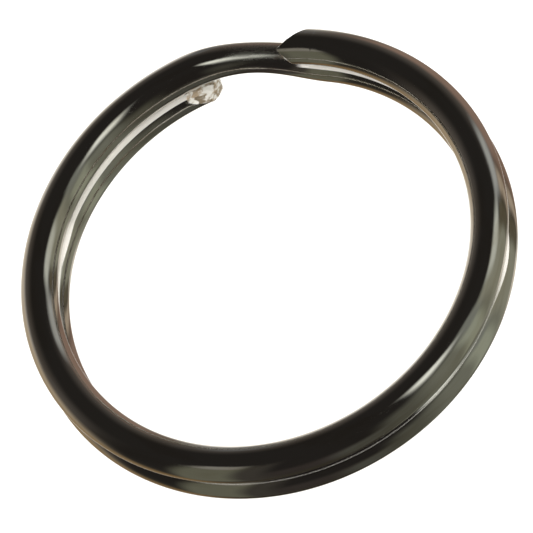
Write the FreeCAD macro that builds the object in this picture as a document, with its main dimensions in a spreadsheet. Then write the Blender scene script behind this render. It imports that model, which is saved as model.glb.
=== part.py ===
"""Split key ring: one round-edged spring wire wound into two close turns.

The wire is divided into named stretches where it bends or changes form. The crossover lifts it
from the lower turn to the upper turn. Each turn has a fixed half, which starts at the crossover,
and a free half, which springs open and ends in a nose. Millimetres and degrees, +Z along the
ring's axis, origin at the ring's centre, crossover in the middle of the -Y side.
"""
import FreeCAD, Part
import Sketcher
import math
import os

from FreeCAD import Placement, Rotation, Vector

SIZES = {
    "outer_diameter": 25.0,      # over the wire
    "wire_width": 1.92,          # across the wire, in the ring's plane
    "crown_radius": 0.975,       # top and bottom of the wire's oval section
    "side_radius": 0.45,         # inner and outer edge of the section
    "turn_pitch": 1.76,          # height between the middles of the two turns
    "crossover_angle": 18.0,     # half the angle that the crossover takes
    "crossover_waist": 0.89,     # size of the section at the middle of the crossover
    "upper_tip_angle": 7.0,      # from the crossover's middle back to the upper nose's point
    "upper_nose_angle": 9.6,     # angle that the pointed upper nose takes
    "flank_angle": 2.0,          # along that nose, where its outer side starts to run in
    "point_offset": 0.55,        # its point, inwards from the middle of the wire
    "seat_slope": 48.0,          # slant under the upper nose, where a key slips in
    "seat_start": 0.4,           # where that slant starts, along the nose
    "lower_tip_angle": 11.8,     # from the crossover's middle on to the lower nose's end
    "lower_nose_angle": 12.2,    # angle that the sheared lower nose takes
    "facet_angle": 7.0,          # along that nose, where its facet reaches the inner edge
    "facet_lean": 45.0,          # tilt of the facet towards the ring's hole
    "facet_fall": 12.0,          # tilt of the facet towards the end of the wire
    "corner_angle": 8.5,         # along that nose, where its inner corner is cut off
    "end_width": 0.9,            # wire left at the very end of that nose
    "cutter_size": 5.0,          # edge of the boxes that trim the noses, larger than the wire
}
CROSSOVER_STATIONS = 13
QUARTER = 90.0
CROSSOVER_SIDE = -90.0           # direction of the crossover, from +X

X_AXIS, Y_AXIS, Z_AXIS = Vector(1, 0, 0), Vector(0, 1, 0), Vector(0, 0, 1)
UPRIGHT = Placement(Vector(), Rotation(X_AXIS, 90))       # stands a sketch on its X axis
TURN_OVER = Placement(Vector(), Rotation(Y_AXIS, 180))    # swaps the upper and the lower turn

doc = FreeCAD.newDocument("split_key_ring")


def make_sheet():
    """Put the driving dimensions in a spreadsheet, one alias each."""
    sheet = doc.addObject("Spreadsheet::Sheet", "sizes")
    for row, (alias, value) in enumerate(SIZES.items(), start=1):
        sheet.set(f"A{row}", alias)
        sheet.set(f"B{row}", str(value))
        sheet.setAlias(f"B{row}", alias)
    doc.recompute()


def size(alias):
    """Read one driving dimension from the sheet."""
    return float(getattr(doc.getObject("sizes"), alias))


def spin(angle):
    """A turn about the ring's axis."""
    return Placement(Vector(), Rotation(Z_AXIS, angle))


def draw_section(sketch, level, shrink=1.0):
    """Draw the wire's oval, shrunk from its outer edge, with its middle at level pitches.

    Four arcs meet tangentially: crown, outer edge, belly and inner edge. The first guess for
    their places is exact, and the constraints tie them to the sheet.
    """
    outer = size("outer_diameter") / 2
    half_width = size("wire_width") / 2 * shrink
    crown = size("crown_radius") * shrink
    side = size("side_radius") * shrink
    middle = outer - half_width
    height = size("turn_pitch") * level
    reach = half_width - side
    drop = math.sqrt((crown - side) ** 2 - reach ** 2)
    slope = math.atan2(drop, reach)
    arcs = (
        ((middle, height - drop), crown, slope, math.pi - slope),
        ((middle - reach, height), side, math.pi - slope, math.pi + slope),
        ((middle, height + drop), crown, math.pi + slope, 2 * math.pi - slope),
        ((middle + reach, height), side, -slope, slope),
    )
    for centre, radius, begin, end in arcs:
        circle = Part.Circle(Vector(*centre, 0), Z_AXIS, radius)
        sketch.addGeometry(Part.ArcOfCircle(circle, begin, end), False)

    start_point, end_point, centre_point, origin = 1, 2, 3, -1
    for arc in range(4):
        follower = (arc + 1) % 4
        add(sketch, "Tangent", arc, end_point, follower, start_point)
    top, inner, bottom, outside = range(4)
    for arc, alias, radius in (
        (top, "crown_radius", crown),
        (bottom, "crown_radius", crown),
        (inner, "side_radius", side),
        (outside, "side_radius", side),
    ):
        bind(sketch, f"sizes.{alias} * {shrink}", "Radius", arc, radius)
    bind(
        sketch, f"sizes.outer_diameter / 2 - sizes.side_radius * {shrink}",
        "DistanceX", origin, start_point, outside, centre_point, middle + reach,
    )
    bind(
        sketch,
        f"sizes.outer_diameter / 2 - (sizes.wire_width - sizes.side_radius) * {shrink}",
        "DistanceX", origin, start_point, inner, centre_point, middle - reach,
    )
    place_at_level(sketch, inner, outside, level, height)


def place_at_level(sketch, inner, outside, level, height):
    """Hold both edge arcs of the oval at their height above the ring's middle plane."""
    centre_point, start_point, origin = 3, 1, -1
    if level == 0:
        add(sketch, "PointOnObject", outside, centre_point, origin)
        add(sketch, "PointOnObject", inner, centre_point, origin)
        return
    lift = f"sizes.turn_pitch * {abs(level)}"
    for arc in (inner, outside):
        ends = (origin, start_point, arc, centre_point)
        if level < 0:
            ends = (arc, centre_point, origin, start_point)
        bind(sketch, lift, "DistanceY", *ends, abs(height))


def add(sketch, kind, *values):
    """Add one constraint and return its index."""
    return sketch.addConstraint(Sketcher.Constraint(kind, *values))


def bind(sketch, expression, kind, *values):
    """Add one dimension and tie it to the sheet."""
    index = add(sketch, kind, *values)
    sketch.setExpression(f"Constraints[{index}]", expression)


def origin_plane(body, role):
    """Find one of a body's own origin planes."""
    return next(item for item in body.Origin.OriginFeatures if item.Role == role)


def wire_stretch(label, sweep):
    """Sweep the section round the ring's axis, from the XZ plane, at the upper level."""
    body = doc.addObject("PartDesign::Body", label)
    sketch = body.newObject("Sketcher::SketchObject", f"{label}_section")
    sketch.AttachmentSupport = [(origin_plane(body, "XZ_Plane"), "")]
    sketch.MapMode = "FlatFace"
    draw_section(sketch, 0.5)
    doc.recompute()
    turn = body.newObject("PartDesign::Revolution", f"{label}_turn")
    turn.Profile = sketch
    turn.ReferenceAxis = (sketch, ["V_Axis"])
    turn.setExpression("Angle", sweep)
    doc.recompute()
    if turn.Shape.BoundBox.YMax < 0.1:
        turn.Reversed = True
    doc.recompute()
    return body


def cut(label, base, tool):
    """Cut one solid out of another."""
    result = doc.addObject("Part::Cut", label)
    result.Base = base
    result.Tool = tool
    return result


def cutter(label, offset, placement):
    """A box, larger than the wire, that trims a nose. Its corner is offset before it is placed."""
    box = doc.addObject("Part::Box", label)
    for side in ("Length", "Width", "Height"):
        box.setExpression(side, "sizes.cutter_size")
    box.Placement = placement * Placement(offset, Rotation())
    return box


def upright_cutter(label, start, end):
    """A cutter with an upright wall through start and end, for what lies left of that way."""
    depth = size("cutter_size")
    way = end - start
    slant = Rotation(Z_AXIS, math.degrees(math.atan2(way.y, way.x)))
    offset = Vector(-depth / 4, 0, (size("turn_pitch") - depth) / 2)
    return cutter(label, offset, Placement(start, slant))


def slanted_cutter(label, point, tilt):
    """A cutter whose top passes through a point at a tilt, for what lies below it."""
    depth = size("cutter_size")
    return cutter(label, Vector(-depth / 2, -depth / 2, -depth), Placement(point, tilt))


def nose_point(radius, angle, height=0.0):
    """A place beside a nose, at a radius and at an angle along it."""
    turn = math.radians(angle)
    return Vector(radius * math.cos(turn), radius * math.sin(turn), height)


def pointed_nose(label):
    """The upper end: its outer side runs in to a point, and a slant underneath lets a key in."""
    blank = wire_stretch(f"{label}_blank", "sizes.upper_nose_angle")
    outer = size("outer_diameter") / 2
    middle = outer - size("wire_width") / 2
    point = nose_point(middle - size("point_offset"), size("upper_nose_angle"))
    flank_start = nose_point(outer, size("flank_angle"))
    flank = upright_cutter(f"{label}_flank", point, flank_start)
    seat_start = Vector(middle, size("seat_start"), 0)
    seat = slanted_cutter(f"{label}_seat", seat_start, Rotation(X_AXIS, size("seat_slope")))
    return cut(label, cut(f"{label}_tapered", blank, flank), seat)


def sheared_nose(label):
    """The lower end, here upside down: a facet leans to the ring's hole, and a corner is off."""
    blank = wire_stretch(f"{label}_blank", "sizes.lower_nose_angle")
    outer = size("outer_diameter") / 2
    inner = outer - size("wire_width")
    heel = nose_point(inner, size("facet_angle"), size("turn_pitch") / 2)
    tilt = Rotation(X_AXIS, size("facet_fall")) * Rotation(Y_AXIS, size("facet_lean"))
    facet = slanted_cutter(f"{label}_facet", heel, tilt)
    toe = nose_point(outer - size("end_width"), size("lower_nose_angle"))
    corner = upright_cutter(f"{label}_corner", nose_point(inner, size("corner_angle")), toe)
    return cut(label, cut(f"{label}_faceted", blank, facet), corner)


def crossover(label):
    """The jog: the section climbs from the lower to the upper level along half a sine wave."""
    stations = []
    for station in range(CROSSOVER_STATIONS):
        along = 2 * station / (CROSSOVER_STATIONS - 1) - 1
        level = round(math.sin(along * math.pi / 2) / 2, 6)
        waist = 1 - (1 - size("crossover_waist")) * math.cos(along * math.pi / 2) ** 2
        sketch = doc.addObject("Sketcher::SketchObject", f"{label}_station_{station}")
        direction = CROSSOVER_SIDE + along * size("crossover_angle")
        sketch.Placement = spin(direction) * UPRIGHT
        draw_section(sketch, level, round(waist, 6))
        stations.append(sketch)
    doc.recompute()
    loft = doc.addObject("Part::Loft", label)
    loft.Sections = stations
    loft.Solid = True
    loft.Ruled = False
    return loft


def build_turn(level, nose_maker):
    """One turn's five stretches, in place: fixed half, free half and nose."""
    start = size("crossover_angle")
    tip_angle = size(f"{level}_tip_angle")
    nose_angle = size(f"{level}_nose_angle")
    opposite = 2 * QUARTER
    nose_start = 2 * opposite - tip_angle - nose_angle
    free_sweep = f"90 - sizes.{level}_tip_angle - sizes.{level}_nose_angle"
    parts = (
        (wire_stretch(f"{level}_fixed_near", "90 - sizes.crossover_angle"), start),
        (wire_stretch(f"{level}_fixed_far", "90"), QUARTER),
        (wire_stretch(f"{level}_free_far", "90"), opposite),
        (wire_stretch(f"{level}_free_near", free_sweep), 3 * QUARTER),
        (nose_maker(f"{level}_nose"), nose_start),
    )
    side = Placement() if level == "upper" else TURN_OVER
    for part, angle in parts:
        part.Placement = side * spin(CROSSOVER_SIDE + angle)
    return [part for part, _ in parts]


def check_and_write(parts):
    """Stop on any failed feature, then write one file for each piece."""
    doc.recompute()
    for item in doc.Objects:
        if {"Invalid", "Error"} & set(item.State):
            raise RuntimeError(f"{item.Label} did not rebuild: {item.State}")
    os.makedirs("parts", exist_ok=True)
    for part in parts:
        shape = part.Shape
        if shape.isNull() or not shape.isValid() or len(shape.Solids) != 1:
            raise RuntimeError(f"{part.Label} is not one valid solid")
        shape.exportStep(os.path.join("parts", f"{part.Label}.step"))
        box = shape.BoundBox
        print(f"{part.Label:18s} {shape.Volume:8.3f} mm3  z {box.ZMin:6.3f} to {box.ZMax:6.3f}")


make_sheet()
pieces = [crossover("crossover")]
pieces += build_turn("upper", pointed_nose)
pieces += build_turn("lower", sheared_nose)
check_and_write(pieces)
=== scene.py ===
"""Looks of the split key ring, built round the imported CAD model.

The wire is swept slice by slice. Every slice has a place along the wire, given as an angle round
the ring's axis: 0 is the middle of the crossover, positive angles run up on to the upper turn and
negative ones down on to the lower turn. Each CAD node gets one mesh over its own stretch.
"""

import math

import bpy
import numpy as np
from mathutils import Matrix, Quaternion, Vector


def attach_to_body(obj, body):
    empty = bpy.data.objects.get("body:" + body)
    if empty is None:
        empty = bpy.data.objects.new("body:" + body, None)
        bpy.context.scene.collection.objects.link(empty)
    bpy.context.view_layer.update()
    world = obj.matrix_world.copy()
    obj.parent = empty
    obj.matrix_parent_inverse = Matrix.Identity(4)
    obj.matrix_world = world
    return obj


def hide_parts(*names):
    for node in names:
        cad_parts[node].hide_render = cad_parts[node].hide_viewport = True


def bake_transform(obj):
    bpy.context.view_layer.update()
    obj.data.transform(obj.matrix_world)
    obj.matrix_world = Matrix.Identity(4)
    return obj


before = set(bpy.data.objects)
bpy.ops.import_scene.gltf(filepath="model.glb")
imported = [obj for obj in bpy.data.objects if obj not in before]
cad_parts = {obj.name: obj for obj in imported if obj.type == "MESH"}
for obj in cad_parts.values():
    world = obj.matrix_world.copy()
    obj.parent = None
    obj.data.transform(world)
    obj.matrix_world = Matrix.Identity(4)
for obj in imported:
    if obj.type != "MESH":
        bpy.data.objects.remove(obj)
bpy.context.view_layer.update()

MM = 0.001

# The wire, in millimetres and degrees, as in the CAD model.
OUTER_RADIUS = 12.5
HALF_WIDTH = 0.96
HALF_HEIGHT = 0.85
HALF_PITCH = 0.88
JOG_ANGLE = 18.0
JOG_WAIST = 0.89
MIDDLE_RADIUS = OUTER_RADIUS - HALF_WIDTH

# The section is a superellipse: round on top, straighter down its flanks, tight at its edges.
WIDTH_POWER = 2.0
HEIGHT_POWER = 1.5
EDGE_BLUNT = 0.15
EDGE_TURN = math.radians(24)
EDGE_STEPS = 12
CROWN_STEPS = 36
SECTION_POINTS = 2 * (EDGE_STEPS + CROWN_STEPS)

# The pointed nose, on top: an upright flank runs in from the outer edge, over a slanted seat.
UPPER_NOSE = 343.4
UPPER_TIP = 352.78
FLANK_START = (OUTER_RADIUS, 2.0)
FLANK_END = (MIDDLE_RADIUS - 0.55, 9.6)
SEAT_START = 0.4
SEAT_SLOPE = math.tan(math.radians(48))

# The sheared nose, underneath: a facet leans to the ring's hole, and the inner corner is off.
LOWER_NOSE = -336.0
LOWER_TIP = -348.15
FACET_HEEL = (OUTER_RADIUS - 2 * HALF_WIDTH, 7.0)
FACET_FALL = math.tan(math.radians(12))
FACET_LEAN = math.tan(math.radians(45)) / math.cos(math.radians(12))
CORNER_START = (OUTER_RADIUS - 2 * HALF_WIDTH, 8.5)
CORNER_END = (OUTER_RADIUS - 0.9, 12.2)

LEAST_HALF_HEIGHT = 1e-6
THINNEST = 0.02         # least width of a trimmed slice
SHEARED_DEPTH = 0.02    # a surface cut back further than this starts to count as sheared

TURN_STEP = 1.0
NOSE_STEP = 0.25
CORNER_SMOOTHING = 3
CROSSOVER_DIRECTION = -90


def rise(share):
    """The height share of a section at a width share, without a crease at its edges."""
    most = (1 + EDGE_BLUNT ** 2) ** (HEIGHT_POWER / 2) - EDGE_BLUNT ** HEIGHT_POWER
    raised = (share * most + EDGE_BLUNT ** HEIGHT_POWER) ** (2 / HEIGHT_POWER)
    return np.sqrt(np.maximum(raised - EDGE_BLUNT ** 2, 0))


def half_height(across):
    """Half the wire's height at a distance across from its middle."""
    return HALF_HEIGHT * rise(np.clip(1 - np.abs(across / HALF_WIDTH) ** WIDTH_POWER, 0, 1))


def section(inner=-HALF_WIDTH, outer=HALF_WIDTH, seat=None, facet=None):
    """One slice of the wire, across and up from its middle, and how far it was cut back.

    It is trimmed to two flanks, and may be cut from below by a seat and from above by a facet,
    which give their height at a distance across. It starts at the outer edge and goes over the
    crown, the inner edge and the belly.
    """
    outer_turn = max(EDGE_TURN, math.acos(outer / HALF_WIDTH))
    inner_turn = max(EDGE_TURN, math.acos(-inner / HALF_WIDTH))
    runs = (
        (-outer_turn, outer_turn, EDGE_STEPS),
        (outer_turn, math.pi - inner_turn, CROWN_STEPS),
        (math.pi - inner_turn, math.pi + inner_turn, EDGE_STEPS),
        (math.pi + inner_turn, 2 * math.pi - outer_turn, CROWN_STEPS),
    )
    turns = np.concatenate([np.linspace(a, b, steps, endpoint=False) for a, b, steps in runs])
    across = np.clip(HALF_WIDTH * np.cos(turns), inner, outer)
    limit = np.maximum(half_height(across), LEAST_HALF_HEIGHT)
    up = HALF_HEIGHT * np.sign(np.sin(turns)) * rise(np.sin(turns) ** 2)
    up = np.clip(up, -limit, limit)
    bottom = -limit if seat is None else np.clip(seat(across), -limit, limit)
    top = limit if facet is None else np.clip(facet(across), -limit, limit)
    trimmed = bottom + (up + limit) / (2 * limit) * (top - bottom)
    cut_back = np.hypot(across - HALF_WIDTH * np.cos(turns), trimmed - up)
    return across, trimmed, cut_back


def soften(values):
    """Even out values round a slice, which rounds off its corners."""
    for _ in range(CORNER_SMOOTHING):
        values = (np.roll(values, 1) + 2 * values + np.roll(values, -1)) / 4
    return values


def corner(radius, angle):
    """A place beside a nose, at a radius and at an angle along it."""
    return radius * math.cos(math.radians(angle)), radius * math.sin(math.radians(angle))


def wall_radius(start, end, angle):
    """Radius at which an upright wall between two places crosses an angle along a nose."""
    start_x, start_y = corner(*start)
    end_x, end_y = corner(*end)
    wall_x, wall_y = end_x - start_x, end_y - start_y
    forward_x, forward_y = corner(1, angle)
    return (start_x * wall_y - start_y * wall_x) / (forward_x * wall_y - forward_y * wall_x)


def pointed_section(angle):
    """A slice of the upper nose: its outer flank runs in to a point, over a slanted seat."""
    sine = math.sin(math.radians(angle))

    def seat(across):
        return ((MIDDLE_RADIUS + across) * sine - SEAT_START) * SEAT_SLOPE - HALF_PITCH

    outer = HALF_WIDTH
    if angle > FLANK_START[1]:
        outer = wall_radius(FLANK_START, FLANK_END, angle) - MIDDLE_RADIUS
    seat_share = max(seat(outer), 0) / HALF_HEIGHT
    inner = -HALF_WIDTH * max(1 - seat_share ** HEIGHT_POWER, 0) ** (1 / WIDTH_POWER)
    return section(min(inner, outer - THINNEST), outer, seat=seat)


def sheared_section(angle):
    """A slice of the lower nose: a facet leans to the hole, and the inner corner is cut off."""
    forward_x, forward_y = corner(1, angle)
    heel_x, heel_y = corner(*FACET_HEEL)

    def facet(across):
        out = (MIDDLE_RADIUS + across) * forward_x - heel_x
        along = (MIDDLE_RADIUS + across) * forward_y - heel_y
        return FACET_LEAN * out - FACET_FALL * along

    inner = -HALF_WIDTH
    if angle > CORNER_START[1]:
        inner = wall_radius(CORNER_START, CORNER_END, angle) - MIDDLE_RADIUS
    return section(inner, facet=facet)


def slice_at(angle):
    """The slice at an angle: across, up, how far it is cut back, its middle's radius and height."""
    if abs(angle) < JOG_ANGLE:
        share = angle / JOG_ANGLE * math.pi / 2
        waist = 1 - (1 - JOG_WAIST) * math.cos(share) ** 2
        across, up, cut_back = section()
        radius = OUTER_RADIUS - HALF_WIDTH * waist
        return across * waist, up * waist, cut_back, radius, HALF_PITCH * math.sin(share)
    level = math.copysign(HALF_PITCH, angle)
    if angle > UPPER_NOSE:
        across, up, cut_back = map(soften, pointed_section(angle - UPPER_NOSE))
    elif angle < LOWER_NOSE:
        across, up, cut_back = map(soften, sheared_section(LOWER_NOSE - angle))
    else:
        across, up, cut_back = section()
    return across, up, cut_back, MIDDLE_RADIUS, level


def place(angle, across, up, radius, level):
    """Put a slice in the ring's frame, in millimetres."""
    direction = math.radians(angle + CROSSOVER_DIRECTION)
    reach = radius + across
    return np.stack([reach * math.cos(direction), reach * math.sin(direction), level + up], 1)


def rows_between(start, end, step):
    """Slices from start to end, with one more at either side where the wire goes on.

    With them come their places on the unrolled wire, along, across and up in millimetres, and
    how much each point is sheared, 0 to 1.
    """
    count = max(1, round(abs(end - start) / step))
    stride = (end - start) / count
    angles = [start + stride * row for row in range(-1, count + 2)]
    rows = []
    unrolled = []
    sheared = []
    for angle in angles:
        clamped = min(max(angle, LOWER_TIP), UPPER_TIP)
        across, up, cut_back, radius, level = slice_at(clamped)
        rows.append(place(clamped, across, up, radius, level))
        length = np.full(SECTION_POINTS, math.radians(clamped) * MIDDLE_RADIUS)
        unrolled.append(np.stack([length, across, up], 1))
        sheared.append(np.clip((cut_back - SHEARED_DEPTH) / SHEARED_DEPTH, 0, 1))
    return np.array(rows), np.array(unrolled), np.array(sheared)


def surface_normals(rows):
    """Outward normals of a grid of slices, leaving out its first and last slice."""
    along = rows[2:] - rows[:-2]
    inside = rows[1:-1]
    round_section = np.roll(inside, -1, axis=1) - np.roll(inside, 1, axis=1)
    normals = np.cross(along, round_section)
    return normals / np.linalg.norm(normals, axis=2, keepdims=True)


def cap_faces(first_point):
    """Quads that close one end of a stretch, in the order that faces the wire's start."""
    half = SECTION_POINTS // 2
    middle = EDGE_STEPS // 2
    faces = []
    for step in range(half):
        ring = (middle + step, middle + step + 1, middle - step - 1, middle - step)
        face = []
        for point in ring:
            index = first_point + point % SECTION_POINTS
            if index not in face:
                face.append(index)
        faces.append(face)
    return faces


def sweep(name, start, end, step):
    """One closed stretch of the wire, with seamless normals and the unrolled wire's coordinates."""
    if start > end:
        start, end = end, start
    rows, unrolled, sheared = rows_between(start, end, step)
    normals = surface_normals(rows)
    rows, unrolled, sheared = rows[1:-1], unrolled[1:-1], sheared[1:-1]
    row_count = len(rows)
    faces = []
    for row in range(row_count - 1):
        for point in range(SECTION_POINTS):
            beside = (point + 1) % SECTION_POINTS
            here, there = row * SECTION_POINTS, (row + 1) * SECTION_POINTS
            faces.append((here + point, there + point, there + beside, here + beside))
    side_count = len(faces)
    faces += cap_faces(0)
    faces += [face[::-1] for face in cap_faces((row_count - 1) * SECTION_POINTS)]
    mesh = bpy.data.meshes.new(name)
    mesh.from_pydata((rows.reshape(-1, 3) * MM).tolist(), [], faces)
    mesh.update()
    attribute = mesh.attributes.new("unrolled_wire", "FLOAT_VECTOR", "POINT")
    attribute.data.foreach_set("vector", unrolled.reshape(-1).astype(np.float32))
    attribute = mesh.attributes.new("sheared", "FLOAT", "POINT")
    attribute.data.foreach_set("value", sheared.reshape(-1).astype(np.float32))
    mesh.polygons.foreach_set("use_smooth", [True] * len(faces))
    point_normals = normals.reshape(-1, 3)
    loop_normals = []
    for polygon in mesh.polygons:
        if polygon.index < side_count:
            loop_normals += [point_normals[point] for point in polygon.vertices]
        else:
            loop_normals += [polygon.normal[:]] * len(polygon.vertices)
    mesh.normals_split_custom_set([tuple(normal) for normal in loop_normals])
    piece = bpy.data.objects.new(name, mesh)
    bpy.context.scene.collection.objects.link(piece)
    return piece


# A Mix node's sockets for colours: factor, first and second colour, and the result.
COLOUR_MIX_INPUTS = (0, 6, 7)
COLOUR_MIX_OUTPUT = 2


class Wiring:
    """Short ways to add nodes to one node tree."""

    def __init__(self, tree):
        self.nodes = tree.nodes
        self.links = tree.links

    def put(self, socket, value):
        """Link an output to a socket, or set the socket's value."""
        if isinstance(value, bpy.types.NodeSocket):
            self.links.new(value, socket)
        else:
            socket.default_value = value

    def math(self, operation, *values):
        """One operation on sockets or numbers."""
        node = self.nodes.new("ShaderNodeMath")
        node.operation = operation
        for socket, value in zip(node.inputs, values):
            self.put(socket, value)
        return node.outputs[0]

    def ramp(self, value, low, high, start=0.0, end=1.0):
        """A smooth step from start, at low, to end, at high."""
        node = self.nodes.new("ShaderNodeMapRange")
        node.interpolation_type = "SMOOTHSTEP"
        for socket, item in zip(node.inputs, (value, low, high, start, end)):
            self.put(socket, item)
        return node.outputs[0]

    def mix(self, factor, first, second):
        """From the first colour, at factor 0, to the second, at 1."""
        node = self.nodes.new("ShaderNodeMix")
        node.data_type = "RGBA"
        for socket, item in zip(COLOUR_MIX_INPUTS, (factor, first, second)):
            self.put(node.inputs[socket], item)
        return node.outputs[COLOUR_MIX_OUTPUT]

    def attribute(self, name, output):
        """A mesh attribute, as its Vector or its Fac."""
        node = self.nodes.new("ShaderNodeAttribute")
        node.attribute_name = name
        return node.outputs[output]

    def stretched(self, vector, along, across):
        """Scale the unrolled wire, along its length and across it."""
        node = self.nodes.new("ShaderNodeVectorMath")
        node.operation = "MULTIPLY"
        self.put(node.inputs[0], vector)
        self.put(node.inputs[1], (along, across, across))
        return node.outputs[0]

    def separate(self, vector):
        """The three numbers of a vector."""
        node = self.nodes.new("ShaderNodeSeparateXYZ")
        self.put(node.inputs[0], vector)
        return node.outputs

    def noise(self, wire, along, across, detail, distortion=0.0):
        """Cloudy noise on the unrolled wire, with that many waves a millimetre."""
        node = self.nodes.new("ShaderNodeTexNoise")
        self.put(node.inputs["Vector"], self.stretched(wire, along, across))
        self.put(node.inputs["Scale"], 1.0)
        self.put(node.inputs["Detail"], detail)
        self.put(node.inputs["Distortion"], distortion)
        return node.outputs["Fac"]

    def bump(self, height, distance, normal=None):
        """Raise the surface by a height, given as 0 to 1, times a distance in metres."""
        node = self.nodes.new("ShaderNodeBump")
        self.put(node.inputs["Strength"], 1.0)
        self.put(node.inputs["Distance"], distance)
        self.put(node.inputs["Height"], height)
        if normal is not None:
            self.put(node.inputs["Normal"], normal)
        return node.outputs[0]


def band(wiring, value, half, softness):
    """1 within half of zero and 0 outside it, with a soft edge."""
    distance = wiring.math("ABSOLUTE", value)
    return wiring.ramp(distance, half - softness, half + softness, 1.0, 0.0)


NICKEL = (0.67, 0.65, 0.62, 1)
WORN_NICKEL = (0.60, 0.565, 0.51, 1)
# Near-white colour of the painted highlight along the groove where the two turns meet.
GROOVE_HIGHLIGHT_COLOUR = (0.97, 0.93, 0.86, 1)
BARE_STEEL = (0.80, 0.77, 0.70, 1)
SMEARED_STEEL = (0.50, 0.39, 0.27, 1)

# Roughness of clean plating, and what each kind of wear, the sheared steel and the painted groove
# highlight add to it.
CLEAN_ROUGHNESS = (0.04, 0.075)
WORN_ROUGHNESS = 0.03
SCRATCH_ROUGHNESS = 0.10
GROOVE_HIGHLIGHT_ROUGHNESS = 0.12
SHEARED_ROUGHNESS = 0.30
DRAG_ROUGHNESS = 0.26

# Depths of the relief, in metres.
RIPPLE_DEPTH = 14e-6
LINE_DEPTH = 0.5e-6
GRAIN_DEPTH = 0.12e-6
SCRATCH_DEPTH = 0.25e-6
TEAR_DEPTH = 60e-6

# How matt the painted groove highlight is, where it is weak and where strong, and the sheared
# steel, clean and smeared.
GROOVE_HIGHLIGHT_MATT = (0.22, 1.0)
SHEARED_MATT = (0.9, 0.25)

# The dragged stretch of the jog's crown, along and across the wire, in millimetres.
DRAG_PLACE = -0.6
DRAG_HALF_LENGTH = 1.9
DRAG_SOFTNESS = 0.8
DRAG_HALF_WIDTH = 0.5

# The painted highlight along the groove between the turns: its distance from the wire's middle,
# its half width, what a stronger highlight adds to that, the softness of its edges, and where
# beside the jog it starts, in millimetres. Last, how strong its inner band is everywhere.
GROOVE_HIGHLIGHT_PLACE = 0.535
GROOVE_HIGHLIGHT_HALF_WIDTH = 0.02
GROOVE_HIGHLIGHT_WIDENING = 0.15
GROOVE_HIGHLIGHT_SOFTNESS = 0.012
GROOVE_HIGHLIGHT_START = (1.9, 2.4)
INNER_HIGHLIGHT_STRENGTH = 0.6
# It is widest on one short stretch of each half turn: one's place, their spacing and length.
WIDE_PLACE = math.radians(-287) * MIDDLE_RADIUS
WIDE_EVERY = math.radians(187) * MIDDLE_RADIUS
WIDE_LENGTH = 3.2


def plated_wire():
    """Bright nickel over drawn spring wire.

    It has drawing lines along the wire, a slight ripple from winding, worn and warmer patches,
    hair scratches, dragged plating on the jog, a painted highlight as a bright matt band where the
    two turns meet, and torn bare steel where the ends were sheared.
    """
    material = bpy.data.materials.new("plated_wire")
    material.use_nodes = True
    wiring = Wiring(material.node_tree)
    shader = wiring.nodes["Principled BSDF"]
    wire = wiring.attribute("unrolled_wire", "Vector")
    sheared = wiring.attribute("sheared", "Fac")

    lines = wiring.noise(wire, 0.12, 13.0, detail=3.0)
    ripple = wiring.noise(wire, 0.35, 0.9, detail=1.0)
    patches = wiring.noise(wire, 0.22, 1.3, detail=4.0, distortion=0.6)
    grain = wiring.noise(wire, 9.0, 11.0, detail=3.0)
    strokes = wiring.noise(wire, 1.6, 22.0, detail=1.0, distortion=1.2)
    tears = wiring.noise(wire, 2.2, 4.5, detail=4.0, distortion=0.5)
    worn = wiring.ramp(patches, 0.42, 0.68)
    scratches = wiring.ramp(strokes, 0.66, 0.72)
    smeared = wiring.ramp(tears, 0.42, 0.58)
    torn = wiring.math("MULTIPLY", tears, sheared)
    dragged = jog_drag(wiring, wire)
    # The painted highlight: a bright matt band along the groove where the turns meet, and its
    # strength.
    groove_highlight, highlight_strength = painted_groove_highlight(wiring, wire)

    colour = wiring.mix(worn, NICKEL, WORN_NICKEL)
    # Painted highlight: the groove band turns near-white.
    colour = wiring.mix(groove_highlight, colour, GROOVE_HIGHLIGHT_COLOUR)
    steel = wiring.mix(smeared, BARE_STEEL, SMEARED_STEEL)
    wiring.put(shader.inputs["Base Color"], wiring.mix(sheared, colour, steel))

    # The painted groove highlight is matt, so the floor light makes it show bright.
    highlight_matt = wiring.ramp(highlight_strength, 0.0, 1.0, *GROOVE_HIGHLIGHT_MATT)
    sheared_matt = wiring.ramp(tears, 0.40, 0.56, *SHEARED_MATT)
    matt = wiring.math(
        "MAXIMUM",
        wiring.math("MULTIPLY", groove_highlight, highlight_matt),
        wiring.math("MULTIPLY", sheared, sheared_matt),
    )
    wiring.put(shader.inputs["Metallic"], wiring.math("SUBTRACT", 1.0, matt))

    roughness = wiring.ramp(grain, 0.3, 0.75, *CLEAN_ROUGHNESS)
    for wear_and_highlight, added in (
        (worn, WORN_ROUGHNESS),
        (scratches, SCRATCH_ROUGHNESS),
        (groove_highlight, GROOVE_HIGHLIGHT_ROUGHNESS),
        (sheared, SHEARED_ROUGHNESS),
        (dragged, DRAG_ROUGHNESS),
    ):
        roughness = wiring.math("ADD", roughness, wiring.math("MULTIPLY", wear_and_highlight, added))
    wiring.put(shader.inputs["Roughness"], roughness)

    normal = None
    for height, depth in (
        (ripple, RIPPLE_DEPTH),
        (lines, LINE_DEPTH),
        (grain, GRAIN_DEPTH),
        (scratches, SCRATCH_DEPTH),
        (torn, TEAR_DEPTH),
    ):
        normal = wiring.bump(height, depth, normal)
    wiring.put(shader.inputs["Normal"], normal)
    return material


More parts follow.
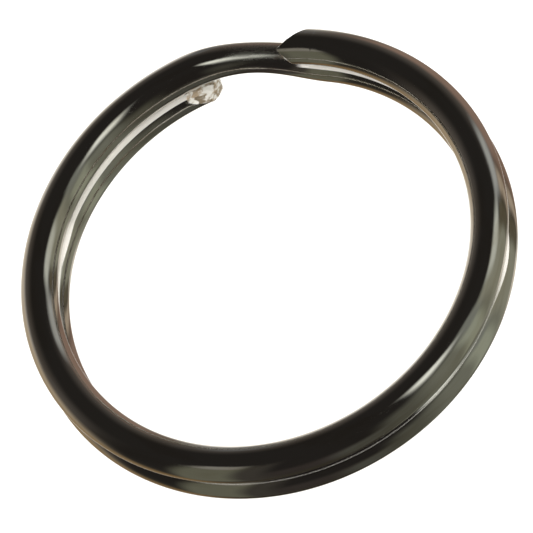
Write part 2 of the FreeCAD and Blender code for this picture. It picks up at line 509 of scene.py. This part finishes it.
def jog_drag(wiring, wire):
    """1 on the crown of the jog's middle, where the forming tool dragged along the plating."""
    along, across, _ = wiring.separate(wire)
    from_drag = wiring.math("SUBTRACT", along, DRAG_PLACE)
    dragged = band(wiring, from_drag, DRAG_HALF_LENGTH, DRAG_SOFTNESS)
    on_top = band(wiring, across, DRAG_HALF_WIDTH, DRAG_HALF_WIDTH / 2)
    dragged = wiring.math("MULTIPLY", dragged, on_top)
    marks = wiring.noise(wire, 0.9, 9.0, detail=2.0)
    return wiring.math("MULTIPLY", dragged, wiring.ramp(marks, 0.3, 0.6, 0.55, 1.0))


def painted_groove_highlight(wiring, wire):
    """1 on the two narrow bands of painted highlight on the side of each turn that faces the other,
    and how strong the highlight is.
    """
    along, across, up = wiring.separate(wire)
    from_wide = wiring.math("SUBTRACT", along, WIDE_PLACE)
    from_wide = wiring.math("WRAP", from_wide, WIDE_EVERY / 2, -WIDE_EVERY / 2)
    wide = band(wiring, from_wide, WIDE_LENGTH / 2, WIDE_LENGTH / 2)
    inside = wiring.math("MULTIPLY", wiring.math("LESS_THAN", across, 0.0), INNER_HIGHLIGHT_STRENGTH)
    highlight_strength = wiring.math("MAXIMUM", wide, inside)
    half_width = wiring.math("MULTIPLY_ADD", highlight_strength, GROOVE_HIGHLIGHT_WIDENING, GROOVE_HIGHLIGHT_HALF_WIDTH)
    beside = wiring.math("SUBTRACT", wiring.math("ABSOLUTE", across), GROOVE_HIGHLIGHT_PLACE)
    beside = wiring.math("SUBTRACT", wiring.math("ABSOLUTE", beside), half_width)
    near = wiring.ramp(beside, -GROOVE_HIGHLIGHT_SOFTNESS, GROOVE_HIGHLIGHT_SOFTNESS, 1.0, 0.0)
    facing_other_turn = wiring.math("LESS_THAN", wiring.math("MULTIPLY", along, up), 0.0)
    off_the_jog = wiring.ramp(wiring.math("ABSOLUTE", along), *GROOVE_HIGHLIGHT_START)
    # Painted highlight: the band on the side facing the other turn, away from the jog.
    groove_highlight = wiring.math("MULTIPLY", near, wiring.math("MULTIPLY", facing_other_turn, off_the_jog))
    return groove_highlight, highlight_strength


CORE = "coil_core"
# Each node's stretch of the wire, from its start to its end.
STRETCHES = (
    ("crossover", -JOG_ANGLE, JOG_ANGLE),
    ("upper_fixed_near", JOG_ANGLE, 90),
    ("upper_fixed_far", 90, 180),
    ("upper_free_far", 180, 270),
    ("upper_free_near", 270, UPPER_NOSE),
    ("upper_nose", UPPER_NOSE, UPPER_TIP),
    ("lower_fixed_near", -JOG_ANGLE, -90),
    ("lower_fixed_far", -90, -180),
    ("lower_free_far", -180, -270),
    ("lower_free_near", -270, LOWER_NOSE),
    ("lower_nose", LOWER_NOSE, LOWER_TIP),
)


def attach(piece, node):
    """Let a stretch ride on its body, or bake its place into its mesh."""
    if node in ("crossover", "upper_fixed_near", "lower_fixed_near"):
        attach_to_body(piece, CORE)
        return
    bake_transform(piece)


metal = plated_wire()
for node, start, end in STRETCHES:
    step = NOSE_STEP if node.endswith("nose") else TURN_STEP
    piece = sweep(f"{node}_wire", start, end, step)
    piece.data.materials.append(metal)
    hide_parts(node)
    attach(piece, node)


CAMERA_AZIMUTH = math.radians(206)
CAMERA_ELEVATION = math.radians(57.3)
CAMERA_ROLL = math.radians(-32.67)
CAMERA_DISTANCE = 0.311
CAMERA_OFFSET = Vector((-0.00005, -0.000304, 0))
CAMERA_LENS = 427
CAMERA_SENSOR = 36


def make_camera():
    """A long lens at the photograph's viewing angle."""
    data = bpy.data.cameras.new("camera")
    data.sensor_width = CAMERA_SENSOR
    data.lens = CAMERA_LENS
    camera = bpy.data.objects.new("camera", data)
    bpy.context.scene.collection.objects.link(camera)
    flat = math.cos(CAMERA_ELEVATION)
    back = Vector((
        math.sin(CAMERA_AZIMUTH) * flat,
        -math.cos(CAMERA_AZIMUTH) * flat,
        math.sin(CAMERA_ELEVATION),
    ))
    turn = (-back).to_track_quat("-Z", "Y") @ Quaternion((0, 0, 1), CAMERA_ROLL)
    camera.rotation_mode = "QUATERNION"
    camera.rotation_quaternion = turn
    camera.location = back * CAMERA_DISTANCE + turn @ CAMERA_OFFSET
    bpy.context.scene.camera = camera


FLOOR_LEVEL = -0.005
FLOOR_HALF_SIZE = 5.0
FLOOR_COLOUR = (0.9, 0.9, 0.9, 1)
FLOOR_ROUGHNESS = 0.9


def make_floor():
    """A plain pale floor, just below the lowest place that the lower end springs to.

    The metal reflects the studio instead of it, as it would on a small lit sheet.
    """
    corners = [(-1, -1), (1, -1), (1, 1), (-1, 1)]
    mesh = bpy.data.meshes.new("floor")
    points = [(x * FLOOR_HALF_SIZE, y * FLOOR_HALF_SIZE, FLOOR_LEVEL) for x, y in corners]
    mesh.from_pydata(points, [], [(0, 1, 2, 3)])
    floor = bpy.data.objects.new("floor", mesh)
    bpy.context.scene.collection.objects.link(floor)
    floor.visible_glossy = False
    material = bpy.data.materials.new("pale_floor")
    material.use_nodes = True
    shader = material.node_tree.nodes["Principled BSDF"]
    shader.inputs["Base Color"].default_value = FLOOR_COLOUR
    shader.inputs["Roughness"].default_value = FLOOR_ROUGHNESS
    shader.inputs["Specular IOR Level"].default_value = 0
    mesh.materials.append(material)


FLOOR_LIGHT = 6.5
FLOOR_LIGHT_ANGLE = math.radians(90)


def make_floor_light():
    """One broad soft light from above, which keeps the floor white and is too wide to glint."""
    data = bpy.data.lights.new("floor_light", "SUN")
    data.energy = FLOOR_LIGHT
    data.angle = FLOOR_LIGHT_ANGLE
    light = bpy.data.objects.new("floor_light", data)
    light.visible_glossy = False
    bpy.context.scene.collection.objects.link(light)


OVERHEAD = (0.021, 0.019, 0.017)
# What stands round the ring, as soft-edged panels laid over each other in this order:
# middle and half width in azimuth, bottom and top in elevation, softness of the side edges and
# of the top and bottom edges, all in degrees, and light.
PANELS = (
    ("ground", 0, 200, -130, -18, 5, 20, (0.045, 0.04, 0.03)),
    ("dim_brown", 90, 17, -28, 8, 8, 10, (0.045, 0.038, 0.034)),
    ("dim_green", 110, 11, -60, 5, 7, 10, (0.085, 0.085, 0.07)),
    ("green_ground", 205, 75, -130, -58, 20, 10, (0.17, 0.175, 0.14)),
    ("glow", 300, 70, -60, 24, 15, 24, (0.105, 0.092, 0.08)),
    ("green_wall", 139, 20, -56, 30, 8, 16, (0.10, 0.10, 0.078)),
    ("green_wall_right", 166, 28, -58, 40, 10, 14, (0.19, 0.195, 0.155)),
    ("green_wall_seam", 166, 7, -44, 34, 4, 10, (0.34, 0.36, 0.28)),
    ("lamp_side", 173, 9, 26, 58, 6, 8, (0.22, 0.23, 0.20)),
    ("lamp", 153, 12, 49, 71, 8, 10, (1.05, 1.08, 0.98)),
    ("low_wall", 187, 14, -56, -26, 6, 8, (0.30, 0.30, 0.24)),
    ("side_card", 191, 13, -34, 40, 5, 7, (0.29, 0.29, 0.225)),
    ("side_card_top", 202, 12, 20, 42, 6, 7, (0.58, 0.60, 0.53)),
    ("brown_card", 246, 23, -60, 2, 7, 12, (0.29, 0.20, 0.155)),
    ("brown_card_top", 224, 11, 2, 27, 6, 9, (0.42, 0.43, 0.41)),
    ("card_gap", 207, 4, -28, 15, 3, 6, (0.12, 0.105, 0.07)),
    ("card_edge", 217, 4, -42, 2, 3, 8, (0.46, 0.38, 0.29)),
    ("low_sheet_left", 202, 10, -50, -34, 6, 5, (0.90, 0.84, 0.73)),
    ("low_sheet_middle", 225, 14, -65, -51, 7, 5, (1.0, 0.95, 0.83)),
    ("low_sheet_right", 252, 22, -71, -56, 8, 5, (1.05, 1.0, 0.90)),
    ("backdrop", 311, 35, -130, -10, 7, 21, (1.0, 0.96, 0.88)),
    ("backdrop_core", 305, 32, -80, -34, 10, 12, (1.5, 1.48, 1.4)),
    ("backdrop_seam", 281, 5, -20, 16, 4, 8, (0.14, 0.14, 0.14)),
    ("warm_sheet", 345, 24, -64, -8, 18, 14, (0.50, 0.41, 0.29)),
    ("warm_corner", 6, 22, -66, -25, 14, 14, (0.32, 0.23, 0.13)),
    ("brown_corner", 32, 14, -56, -30, 10, 12, (0.24, 0.16, 0.08)),
    ("left_card_edge", 66, 8, -40, 46, 5, 8, (0.055, 0.05, 0.042)),
    ("left_card", 52, 10, -36, 44, 4, 8, (0.15, 0.15, 0.11)),
    ("left_card_top", 51, 9, 36, 49, 4, 4, (0.26, 0.25, 0.22)),
)
WHITE_BACKGROUND = (1.6, 1.6, 1.6, 1)


def make_world():
    """The studio that the metal reflects. The camera sees it as plain white behind the floor."""
    world = bpy.data.worlds.new("studio")
    world.use_nodes = True
    bpy.context.scene.world = world
    wiring = Wiring(world.node_tree)
    direction = wiring.nodes.new("ShaderNodeTexCoord").outputs["Generated"]
    x, y, z = wiring.separate(direction)
    azimuth = wiring.math("DEGREES", wiring.math("ARCTAN2", y, x))
    elevation = wiring.math("DEGREES", wiring.math("ARCSINE", z))
    light = (*OVERHEAD, 1)
    for _, middle, half_width, bottom, top, side_softness, end_softness, colour in PANELS:
        turned = wiring.math("SUBTRACT", azimuth, float(middle))
        turned = wiring.math("WRAP", turned, 180.0, -180.0)
        beside = band(wiring, turned, half_width, side_softness)
        raised = wiring.math("SUBTRACT", elevation, (bottom + top) / 2)
        between = band(wiring, raised, (top - bottom) / 2, end_softness)
        mask = wiring.math("MULTIPLY", beside, between)
        light = wiring.mix(mask, light, (*colour, 1))
    camera_ray = wiring.nodes.new("ShaderNodeLightPath").outputs["Is Camera Ray"]
    seen = wiring.mix(camera_ray, light, WHITE_BACKGROUND)
    wiring.put(wiring.nodes["Background"].inputs["Color"], seen)


make_camera()
make_floor()
make_floor_light()
make_world()
bpy.context.scene.view_settings.view_transform = "Standard"
